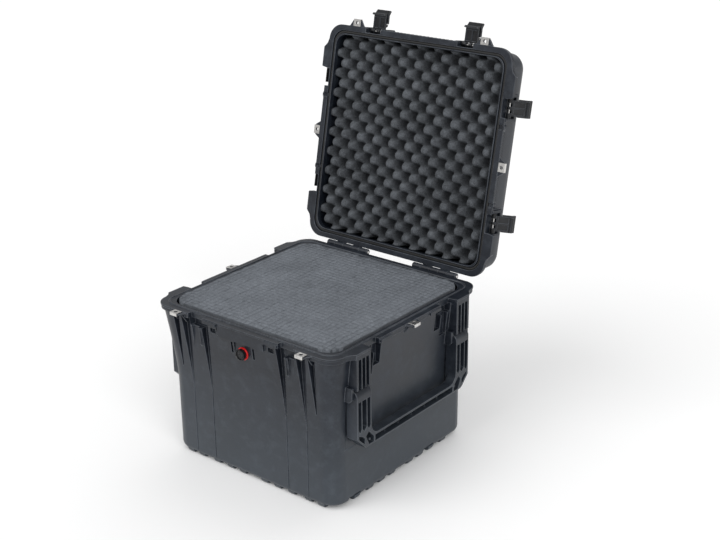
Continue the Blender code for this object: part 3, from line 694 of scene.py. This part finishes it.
def build_base_foam():
    """Pegs with uneven tops and cuts of uneven depth, then a slight sway in the cutting lines."""
    rng = np.random.default_rng(41)
    cells = 36
    steps = (0.0, 0.045, 0.16, 0.5, 0.84, 0.955)
    low_edge = -CELL * cells / 2.0
    lines = [low_edge + CELL * (i + s) for i in range(cells) for s in steps] + [-low_edge]
    lines = [max(-FOAM_HALF, min(FOAM_HALF, v)) for v in lines]
    proud, uneven, window = 6.6, 0.35, 9
    tops, tilt_x, tilt_y = (rng.normal(0.0, uneven, (cells + 1, cells + 1)) for _ in range(3))
    fade = [np.convolve(rng.random(cells + window), np.ones(window) / window, "valid")
            for _ in range(2 * (cells + 1))]

    def cut_depths(rows):
        return np.array([1.0 + 5.5 * abs(row[:cells + 1] - 0.42) + 2.2 * rng.random() ** 2
                         for row in rows])

    cut_x = cut_depths(fade[:cells + 1])
    cut_y = cut_depths(fade[cells + 1:]).T
    count = len(steps)

    def rounding(near):
        """How much of a cut's depth is left at a distance from it, in cells."""
        return {0.0: 1.0, 0.045: 0.34}.get(round(near, 3), 0.05 if near < 0.2 else 0.0)

    def height(i, j, x, y):
        u, v = min(abs(x) / FOAM_HALF, 1.0), min(abs(y) / FOAM_HALF, 1.0)
        crown = proud * (1.0 - 0.35 * u ** 6) * (1.0 - 0.35 * v ** 6)
        ci, cj = min(i // count, cells), min(j // count, cells)
        fi, fj = steps[i % count], steps[j % count]
        z = crown + tops[ci, cj] * (fi > 0) * (fj > 0)
        z += tilt_x[ci, cj] * (fi - 0.5) * (fi > 0) + tilt_y[ci, cj] * (fj - 0.5) * (fj > 0)
        round_x, round_y = rounding(min(fi, 1.0 - fi)), rounding(min(fj, 1.0 - fj))
        wobble = 0.35 * math.sin(0.11 * x + 1.3) * math.sin(0.13 * y + 0.4)
        return RIM + z + wobble - max(cut_x[ci, cj] * round_x, cut_y[ci, cj] * round_y)

    def block(body):
        add_height_block(body, lines, lines, height, FOAM_HALF, CAVITY_CORNER, 34.5)

    foam = new_piece("base_foam_visual", block)
    rng = np.random.default_rng(7)
    flat = np.empty(len(foam.data.vertices) * 3)
    foam.data.vertices.foreach_get("co", flat)
    points = flat.reshape(-1, 3)
    top = points[:, 2] > (RIM - 4.0) * MM
    sway = 0.55 * MM
    points[top, 0] += sway * np.sin(points[top, 1] * 61.0 + 2.0 * np.sin(points[top, 0] * 37.0))
    points[top, 1] += sway * np.sin(points[top, 0] * 57.0 + 2.0 * np.sin(points[top, 1] * 33.0))
    points[top, :2] += rng.normal(0.0, 0.10 * MM, (int(top.sum()), 2))
    foam.data.vertices.foreach_set("co", points.reshape(-1))
    mark_hollows(foam, RIM + 5.2, RIM + 1.5)
    foam.data.shade_smooth()
    return foam


base_foam = build_base_foam()
# The last number sets how dark the painted shade in the hollows is.
PLUCK_FOAM = foam_material(
    "pluck foam", (0.095, 0.104, 0.118), (0.190, 0.207, 0.232), 0.0005, 0.55)
dress(base_foam, PLUCK_FOAM, "foam", "base", "base_foam")

# ---------------------------------------------------------------- pressure valve
# A purge valve screwed through the front: a red collar on a flat seat, a black fluted knob over
# it and a dished face. The knob turns by hand to let air in.
FLUTES = 9
FLUTED_FROM = 11.0


def spun(name, profile, steps, flute=0.0):
    """A (radius, out) profile turned round the valve's axis, fluted outside FLUTED_FROM."""
    rings = []
    for radius, out in profile:
        ring = []
        for i in range(steps):
            turn = math.tau * i / steps
            dent = flute * (0.5 + 0.5 * math.cos(FLUTES * turn)) if radius > FLUTED_FROM else 0.0
            reach = radius - dent
            ring.append((reach * math.cos(turn), -out, RIM - VALVE_DOWN + reach * math.sin(turn)))
        rings.append(ring)
    piece = new_piece(name, lambda body: add_loft(body, rings))
    piece.data.shade_smooth()
    piece.data.set_sharp_from_angle(angle=math.radians(40))
    return piece


LATCH_PLASTIC = moulded_plastic(
    "latch plastic", (0.0035, 0.0038, 0.0048), (0.0080, 0.0085, 0.0100), 0.24, 0.40, 0.4, 0.12)
RED_PLASTIC = moulded_plastic(
    "red plastic", (0.50, 0.012, 0.012), (0.62, 0.02, 0.018), 0.3, 0.42, 0.2, 0.1)

collar = spun("valve_collar_visual", (
    (8.4, 249.4), (14.6, 249.4), (14.6, 251.4), (14.0, 252.3), (8.4, 252.3)), 64)
dress(collar, RED_PLASTIC, "valve_red", "base", "valve_collar")
knob = spun("valve_knob_visual", (
    (8.4, 252.8), (12.6, 252.8), (13.0, 253.4), (13.0, 260.6), (12.3, 262.1), (10.6, 262.5),
    (9.8, 261.6), (9.4, 259.2), (8.5, 258.8)), 144, 0.9)
dress(knob, LATCH_PLASTIC, "latch", "valve_knob", "valve_knob")
stem = spun("valve_stem_visual", (
    (7.8, 237.0), (8.0, 237.4), (8.0, 258.4), (7.2, 259.4), (3.4, 259.6), (2.8, 258.6),
    (0.4, 258.4)), 48)
dress(stem, LATCH_PLASTIC, "latch", "base", "valve_stem")

# ---------------------------------------------------------------- pins and padlock clips
# Bright stainless hardware: round pins through the hinges, latches, levers and handles, and
# folded strips that guard the padlock ears of both halves.
def steel_material():
    finish = Finish("steel", Metallic=1.0)
    brushed = finish.node("Mapping", sockets={"Vector": finish.place, "Scale": (1.0, 1.0, 14.0)})
    lines = finish.noise(520.0, 3.0, 0.6, brushed)
    smudge = finish.noise(60.0, 4.0, 0.6)
    finish.set({
        "Base Color": finish.blend(finish.limits(smudge, 0.35, 0.7), (0.66, 0.65, 0.63, 1.0),
                                   (0.42, 0.41, 0.40, 1.0)),
        "Roughness": finish.limits(lines * 0.6 + smudge * 0.4, 0.35, 0.65, 0.20, 0.42),
        "Normal": finish.bump(lines, 0.00005, 0.6),
    })
    return finish.material


STEEL = steel_material()


def copy_of_node(node, name):
    """A new piece with a node's own shape."""
    source = frame["nodes"][node].data
    mesh = bpy.data.meshes.new(name)
    mesh.from_pydata([v.co for v in source.vertices], [], [p.vertices[:] for p in source.polygons])
    piece = bpy.data.objects.new(name, mesh)
    bpy.context.scene.collection.objects.link(piece)
    return piece


body_of_node = {
    node: body for body, nodes in frame["record"]["behaviour"]["bodies"].items() for node in nodes
}
for node in sorted(body_of_node):
    if "clip" in node:
        clip = copy_of_node(node, f"{node}_visual")
        soften(clip, 0.35, flats=True)
        dress(clip, STEEL, "steel", body_of_node[node], node)
    elif "_pin_" in node:
        pin = copy_of_node(node, f"{node}_visual")
        soften(pin, 0.5, flats=True)
        dress(pin, STEEL, "steel", body_of_node[node], node)

# ---------------------------------------------------------------- latches
# Six throw latches: a black moulded arm that swings on the lid and hooks under the base's rim,
# and a flared lever on its own pin that pulls the hook tight.
PIN_TO_PIN = (6.8, 16.0)
ARM_HOLLOWS = (
    *((along, (-8.0, 8.0), (-7.0, 5.2)) for along in ((-11.5, -3.0), (3.0, 11.5))),
    *((along, (-6.0, -0.8), (9.5, 34.0)) for along in ((-14.5, -1.6), (1.6, 14.5))),
)
LEVER_HOLLOWS = tuple(
    (along, (-6.0, -1.0), (7.0, 24.0)) for along in ((-17.0, -7.0), (-5.0, 5.0), (7.0, 17.0)))


def middle_of(node):
    low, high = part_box(node)
    return (Vector(low) + Vector(high)) / 2.0


def joint_named(name):
    return next(j for j in frame["record"]["behaviour"]["joints"] if j["name"] == name)


def latch_part(node, centre, hollows, label):
    """A node's shape with pockets, given as ranges (along, out, down) about its own pin."""
    part = copy_of_node(node, f"{node}_visual")
    tidy_mesh(part.data, True)
    pin, lever_pin = middle_of(f"latch_pin_{label}"), middle_of(f"lever_pin_{label}")
    joint = joint_named(f"latch_{label}")
    axis, arm = Vector(joint["axis"]).normalized(), (lever_pin - pin) / MM
    out_by, down_by = PIN_TO_PIN
    turned = axis.cross(arm)
    out = (arm * out_by + turned * down_by) / arm.length_squared
    down = (arm * down_by - turned * out_by) / arm.length_squared

    def pockets(body):
        for (a0, a1), (o0, o1), downward in hollows:
            add_loft(body, [[(centre + (axis * a + out * o + down * d) * MM) / MM
                             for o, a in ((o0, a0), (o0, a1), (o1, a1), (o1, a0))]
                            for d in downward])

    carve(part, pockets)
    soften(part, 0.5, highlight_slot=1)
    dress(part, LATCH_PLASTIC, "latch", body_of_node[node], node, edges=CASE_EDGES_PAINTED_HIGHLIGHT)


for node in sorted(body_of_node):
    if node.startswith("latch_arm_"):
        place = node.removeprefix("latch_arm_")
        latch_part(node, middle_of(f"latch_pin_{place}"), ARM_HOLLOWS, place)
    elif node.startswith("latch_lever_"):
        place = node.removeprefix("latch_lever_")
        latch_part(node, middle_of(f"lever_pin_{place}"), LEVER_HOLLOWS, place)

# ---------------------------------------------------------------- handles
# Two U-shaped carrying handles, moulded hollow from the outside and stiffened by ribs, folded
# down against the sides. Each turns on two steel pins between the cheeks of the pillars.
ARM_BACK = 243.0
GRIP_TOP = 203.0
GRIP_BOTTOM = 228.0
BEND_RADIUS = 24.0
HEAD_RADIUS = 16.6


def build_handle(side):
    sign = 1.0 if side == "right" else -1.0
    out0, down0 = HANDLE_PIVOT

    def outline(points):
        return [(along, RIM - down) for along, down in points]

    def arc(centre, radius, start, end, steps=8):
        turns = [math.radians(start + (end - start) * i / steps) for i in range(steps + 1)]
        return [(centre[0] + radius * math.cos(a), centre[1] + radius * math.sin(a)) for a in turns]

    def u_shape(top):
        """The U in (along, down): round its outside, then back round its inside."""
        outer = [(ARM_OUT, top), (ARM_OUT, 198.0), (172.0, GRIP_BOTTOM)]
        bend = arc((ARM_IN - BEND_RADIUS, GRIP_TOP - BEND_RADIUS), BEND_RADIUS, 90.0, 0.0)
        inner = bend + [(ARM_IN, top)]
        return (outer + [(-along, down) for along, down in reversed(outer)]
                + [(-along, down) for along, down in reversed(inner)] + inner)

    def through(points, low, high):
        def maker(body):
            near, far = sorted((sign * low, sign * high))
            add_prism(body, outline(points), near, far, "X")
        return maker

    piece = new_piece(f"handle_{side}_visual", through(u_shape(84.0), ARM_BACK, HANDLE_FACE))
    head = [(out0 + out, down0 - up) for out, up in arc((0.0, 0.0), HEAD_RADIUS, 0.0, 180.0, 14)]
    tail = [(ARM_BACK, 218.0), (251.0, GRIP_BOTTOM), (265.0, GRIP_BOTTOM), (271.5, 225.6),
            (HANDLE_FACE, 220.0)]
    profile = [(sign * out, RIM - down) for out, down in head + tail]
    side_cut = new_piece("profile", lambda body: add_prism(body, profile, -210.0, 210.0, "Y"))
    boolean(piece, side_cut, "INTERSECT")

    def behind_grip(body):
        near, far = sorted((sign * 236.0, sign * 250.5))
        add_box(body, (near, -ARM_IN, RIM - 240.0), (far, ARM_IN, RIM - 170.0))

    def grip_channel(body):
        points = [(-142.0, 208.2), (142.0, 208.2), (142.0, 222.5), (-142.0, 222.5)]
        near, far = sorted((sign * 254.0, sign * 280.0))
        add_prism(body, outline(points), near, far, "X")

    def arm_channels(body):
        near, far = sorted((sign * 252.0, sign * 280.0))
        for way in (-1.0, 1.0):
            for low, high in ((158.2, 168.2), (171.0, 185.2), (188.0, 197.8)):
                points = [(low, 112.0), (high, 112.0), (high, 176.0), ((low + high) / 2.0, 184.0),
                          (low, 176.0)]
                add_prism(body, outline([(way * a, d) for a, d in points]), near, far, "X")
            web = ([(147.0, 208.5), (164.0, 190.5), (173.0, 199.5), (163.0, 222.0), (147.0, 222.0)],
                   [(177.0, 203.0), (184.0, 196.0), (196.5, 190.0), (196.5, 198.0), (179.0, 215.0)])
            for points in web:
                add_prism(body, outline([(way * a, d) for a, d in points]), near, far, "X")

    for features in (behind_grip, grip_channel, arm_channels):
        carve(piece, features)

    def posts(body):
        near, far = sorted((sign * 250.8, sign * 268.5))
        for way in (-1.0, 1.0):
            add_prism(body, outline(circle((way * 155.5, 214.0), 3.4, 20)), near, far, "X")

    def grip_ribs(body):
        near, far = sorted((sign * 253.0, sign * 262.5))
        for at in (-96.0, -48.0, 0.0, 48.0, 96.0):
            add_box(body, (near, at - 1.0, RIM - 223.5), (far, at + 1.0, RIM - 207.5))

    fuse(piece, posts)
    fuse(piece, grip_ribs)
    centre = (sign * out0, RIM - down0)
    carve(piece, lambda body: add_prism(body, circle(centre, HANDLE_BORE, 20), -210.0, 210.0, "Y"))
    soften(piece, EDGE_ROUND, highlight_slot=1)
    dress(piece, CASE_PLASTIC, "case", f"handle_{side}", f"handle_{side}", edges=CASE_EDGES_PAINTED_HIGHLIGHT)


for handle_side in ("right", "left"):
    build_handle(handle_side)

# ---------------------------------------------------------------- lid shell
# The upper half: a shallower moulding hinged at the back, with a seal groove in its face, ears
# that hold the latches, padlock ears, a ribbed front band and raised stacking pads on top.
LID_OPEN = -joint_named("lid_hinge")["range_deg"][0]
LID_TURN = (Matrix.Translation((0.0, HINGE_OUT * MM, RIM * MM))
            @ Matrix.Rotation(math.radians(-LID_OPEN), 4, "X")
            @ Matrix.Translation((0.0, -HINGE_OUT * MM, -RIM * MM)))
FACE = RIM + 0.6
BOSS_PLACES = tuple((side, at) for side in ("right", "left") for at in (-88.0, 88.0))
BOSS_OUT = 252.5
LATCH_PIN_OUT = 254.0
LATCH_PIN_UP = 25.0
LATCH_BORE = 2.3
BAY_HALF = 23.9
EAR_IN = 24.3
EAR_OUT = 30.3


def build_lid_shell():
    walls = [(250.0, 34.0, 11.0), (249.4, 34.0, 40.0), (248.5, 34.0, 60.0), (247.4, 34.0, 69.0),
             (245.2, 34.0, 75.5), (241.5, 33.0, 80.5), (236.0, 31.0, 84.2), (229.0, 28.0, 86.0)]
    shell = new_piece("lid_shell_visual", lambda body: add_lofted_square(body, walls, RIM))

    def latch_bays(body):
        for side, at in LATCH_PLACES:
            side_box(body, side, (at - BAY_HALF, at + BAY_HALF), (246.6, HALF + 10.0),
                     (RIM - 5.0, RIM + 44.0))

    carve(shell, latch_bays)
    fuse(shell, lambda body: add_prism(body, rim_outline(), FACE, RIM + 6.0))
    fuse(shell, lambda body: add_prism(body, rim_outline(1.3), RIM + 5.0, RIM + FLANGE))

    def latch_ears(body):
        profile = [(244.0, RIM + 5.0), (261.5, RIM + 5.0), (261.5, RIM + 46.0), (256.0, RIM + 52.0),
                   (244.0, RIM + 52.0)]
        for side, at in LATCH_PLACES:
            for sign in (-1.0, 1.0):
                low, high = sorted((at + sign * EAR_IN, at + sign * EAR_OUT))
                flip = -1.0 if side in ("back", "left") else 1.0
                along = sorted((flip * low, flip * high))
                side_wedge(body, side, along, profile)

    def latch_bridges(body):
        for side, at in LATCH_PLACES:
            side_box(body, side, (at - 29.0, at + 29.0), (244.0, 256.5), (RIM + 45.0, RIM + 51.0))

    def front_band(body):
        side_box(body, "front", (-104.0, 104.0), (244.0, 258.6), (RIM + 8.0, RIM + 30.0))

    def band_ribs(body):
        for at in range(-99, 100, 11):
            side_box(body, "front", (at - 1.2, at + 1.2), (250.0, 259.6), (RIM + 12.0, RIM + 29.0))

    def lugs(body):
        for side, at in LUG_PLACES:
            add_lug(body, side, at, RIM + 2.5, RIM + 6.3)

    def bosses(body):
        for side, at in BOSS_PLACES:
            add_prism(body, circle(to_side(side, at, BOSS_OUT), 10.0, 32), FACE, RIM + 12.0)

    def pads(body):
        spans = ((-190.0, -60.0), (60.0, 190.0))
        for x0, x1 in spans:
            for y0, y1 in spans:
                add_box(body, (x0, y0, RIM + 84.0), (x1, y1, RIM + 89.0))

    for features in (latch_ears, latch_bridges, front_band, band_ribs, lugs, bosses, pads):
        fuse(shell, features)
    fuse(shell, lambda body: add_knuckles(body, 1))
    fuse(shell, lambda body: add_webs(body, 1, 1.0))

    def cavity(body):
        sections = ((244.0, 29.0, 14.0), (243.0, 29.0, 64.0), (236.0, 29.0, 80.0))
        add_lofted_square(body, sections, RIM)

    def boss_pockets(body):
        for side, at in BOSS_PLACES:
            add_prism(body, circle(to_side(side, at, BOSS_OUT), 6.2, 28), RIM - 2.0, RIM + 5.6)

    def bores(body):
        add_pin_holes(body)
        add_lock_holes(body, RIM - 5.0, RIM + 20.0)
        for side, at in LATCH_PLACES:
            x, y = to_side(side, at, LATCH_PIN_OUT)
            axis = "X" if side == "front" else "Y"
            across, middle = (y, x) if axis == "X" else (x, y)
            bore = circle((across, RIM + LATCH_PIN_UP), LATCH_BORE, 16)
            add_prism(body, bore, middle - 28.0, middle + 28.0, axis)

    carve(shell, cavity)
    carve(shell, lambda body: add_prism(body, rounded_square(237.5, 28.0), RIM - 5.0, RIM + 20.0))
    carve(shell, boss_pockets)
    carve(shell, bores)
    groove = new_piece("groove", lambda body: add_prism(
        body, rounded_square(247.2, 31.0), RIM - 5.0, RIM + 6.6))
    carve(groove, lambda body: add_prism(body, rounded_square(240.2, 26.0), RIM - 6.0, RIM + 8.0))
    boolean(shell, groove, "DIFFERENCE")
    shell.data.transform(LID_TURN)
    return shell


lid_shell = build_lid_shell()
soften(lid_shell, EDGE_ROUND, highlight_slot=1)
dress(lid_shell, CASE_PLASTIC, "case", "lid", "lid_shell", edges=CASE_EDGES_PAINTED_HIGHLIGHT)

# ---------------------------------------------------------------- lid seal
# A soft black rubber ring pressed into the groove in the lid's face. It is round on its free side,
# where the base's raised lip presses into it when the case is shut.
def rubber_material():
    finish = Finish("rubber", IOR=1.45)
    cloud = finish.noise(30.0, 4.0, 0.6)
    grain = finish.noise(1900.0, 2.0, 0.5)
    finish.set({
        "Base Color": finish.blend(finish.limits(cloud, 0.35, 0.7), (0.010, 0.010, 0.010, 1.0),
                                   (0.022, 0.022, 0.022, 1.0)),
        "Roughness": finish.limits(cloud, 0.3, 0.7, 0.55, 0.75),
        "Normal": finish.bump(grain, 0.00008, 0.5),
    })
    return finish.material


def seal_hoop(body):
    middle, reach, shoulder, crest, root = 243.7, 3.0, 4.8, 1.5, 6.3
    section = [(middle + reach * math.cos(a), shoulder - crest * math.sin(a))
               for a in (math.radians(180.0 * i / 10.0) for i in range(11))]
    section += [(middle - reach, root), (middle + reach, root)]
    add_lofted_square(body, [(half, 28.6 + half - middle, z) for half, z in section], RIM, False)


lid_seal = new_piece("lid_seal_visual", seal_hoop)
lid_seal.data.transform(LID_TURN)
lid_seal.data.shade_smooth()
dress(lid_seal, rubber_material(), "seal", "lid", "lid_seal")

# ---------------------------------------------------------------- egg-crate foam
# The lid's lining: dark convoluted foam, cut so that rows of rounded pegs press on the load, and
# glued in behind the lid's mouth.
def build_lid_foam():
    half, pitch, top, deep, steep = 236.5, 24.0, 9.0, 32.0, 2.3
    count = 166
    lines = [-half + 2.0 * half * i / count for i in range(count + 1)]
    rng = np.random.default_rng(19)
    jitter = rng.normal(0.0, 0.22, (count + 1, count + 1))

    def height(i, j, x, y):
        wave = math.cos(math.pi * x / pitch) * math.cos(math.pi * y / pitch)
        rise = 0.5 * (1.0 + math.tanh(steep * wave) / math.tanh(steep))
        return RIM + top + deep * (1.0 - rise) + jitter[i, j]

    def block(body):
        add_height_block(body, lines, lines, height, half, 27.5, RIM + 79.0)

    foam = new_piece("lid_foam_visual", block)
    mark_hollows(foam, RIM + top + 6.0, RIM + top + deep)
    foam.data.transform(LID_TURN)
    foam.data.shade_smooth()
    return foam


lid_foam = build_lid_foam()
# The last number sets how dark the painted shade in the hollows is.
EGG_CRATE_FOAM = foam_material(
    "egg-crate foam", (0.030, 0.033, 0.037), (0.125, 0.135, 0.150), 0.0006, 0.75)
dress(lid_foam, EGG_CRATE_FOAM, "lid_foam", "lid", "lid_foam")

# ---------------------------------------------------------------- floor, light and camera
# A plain pale floor that runs out of sight and a white surround, lit from the front, the right
# and behind by three very wide, soft lights.
def floor_material():
    finish = Finish("floor", Roughness=0.7)
    cloud = finish.noise(1.2, 2.0, 0.5)
    finish.set({
        "Base Color": finish.blend(cloud, (0.90, 0.90, 0.90, 1.0), (0.93, 0.93, 0.93, 1.0))})
    return finish.material


floor = new_piece("floor", lambda body: bmesh.ops.create_grid(
    body, x_segments=1, y_segments=1, size=30.0))
floor.data.materials.append(floor_material())

surround = bpy.data.worlds.new("surround")
surround.use_nodes = True
sky = next(node for node in surround.node_tree.nodes if node.type == "BACKGROUND")
seen = surround.node_tree.nodes.new("ShaderNodeLightPath")
sky.inputs["Color"].default_value = (1.0, 1.0, 1.0, 1.0)
feed(sky.inputs["Strength"], 0.52 + Wire(seen.outputs["Is Camera Ray"]) * 0.5)
bpy.context.scene.world = surround


def add_soft_light(name, place, spread, power):
    """A very wide, very soft light that shines from place towards the case."""
    lamp = bpy.data.lights.new(name, "SUN")
    lamp.angle = math.radians(spread)
    lamp.energy = power
    holder = bpy.data.objects.new(name, lamp)
    holder.rotation_euler = (-Vector(place)).to_track_quat("-Z", "Y").to_euler()
    bpy.context.scene.collection.objects.link(holder)


add_soft_light("key", (-0.9, -2.2, 2.4), 50.0, 1.25)
add_soft_light("fill", (2.6, -1.7, 1.9), 45.0, 1.45)
add_soft_light("back", (-0.4, 2.4, 2.6), 60.0, 0.55)

AIM = Vector((0.0, 0.052, RIM * MM))
STAND_OFF = 3.048
azimuth, elevation, roll = math.radians(40.013), math.radians(22.380), -0.019
away = Vector((math.sin(azimuth) * math.cos(elevation), -math.cos(azimuth) * math.cos(elevation),
               math.sin(elevation)))
level = (-away).cross(Vector((0.0, 0.0, 1.0))).normalized()
upright = level.cross(-away)
right = level * math.cos(roll) + upright * math.sin(roll)
up = upright * math.cos(roll) - level * math.sin(roll)
lens = bpy.data.cameras.new("camera")
lens.lens = 66.93
lens.sensor_width = 36.0
lens.shift_x = 0.0377
lens.shift_y = 0.0221
camera = bpy.data.objects.new("camera", lens)
camera.matrix_world = Matrix((right, up, away)).transposed().to_4x4()
camera.location = AIM + away * STAND_OFF
bpy.context.scene.collection.objects.link(camera)
bpy.context.scene.camera = camera
bpy.context.scene.view_settings.view_transform = "Standard"
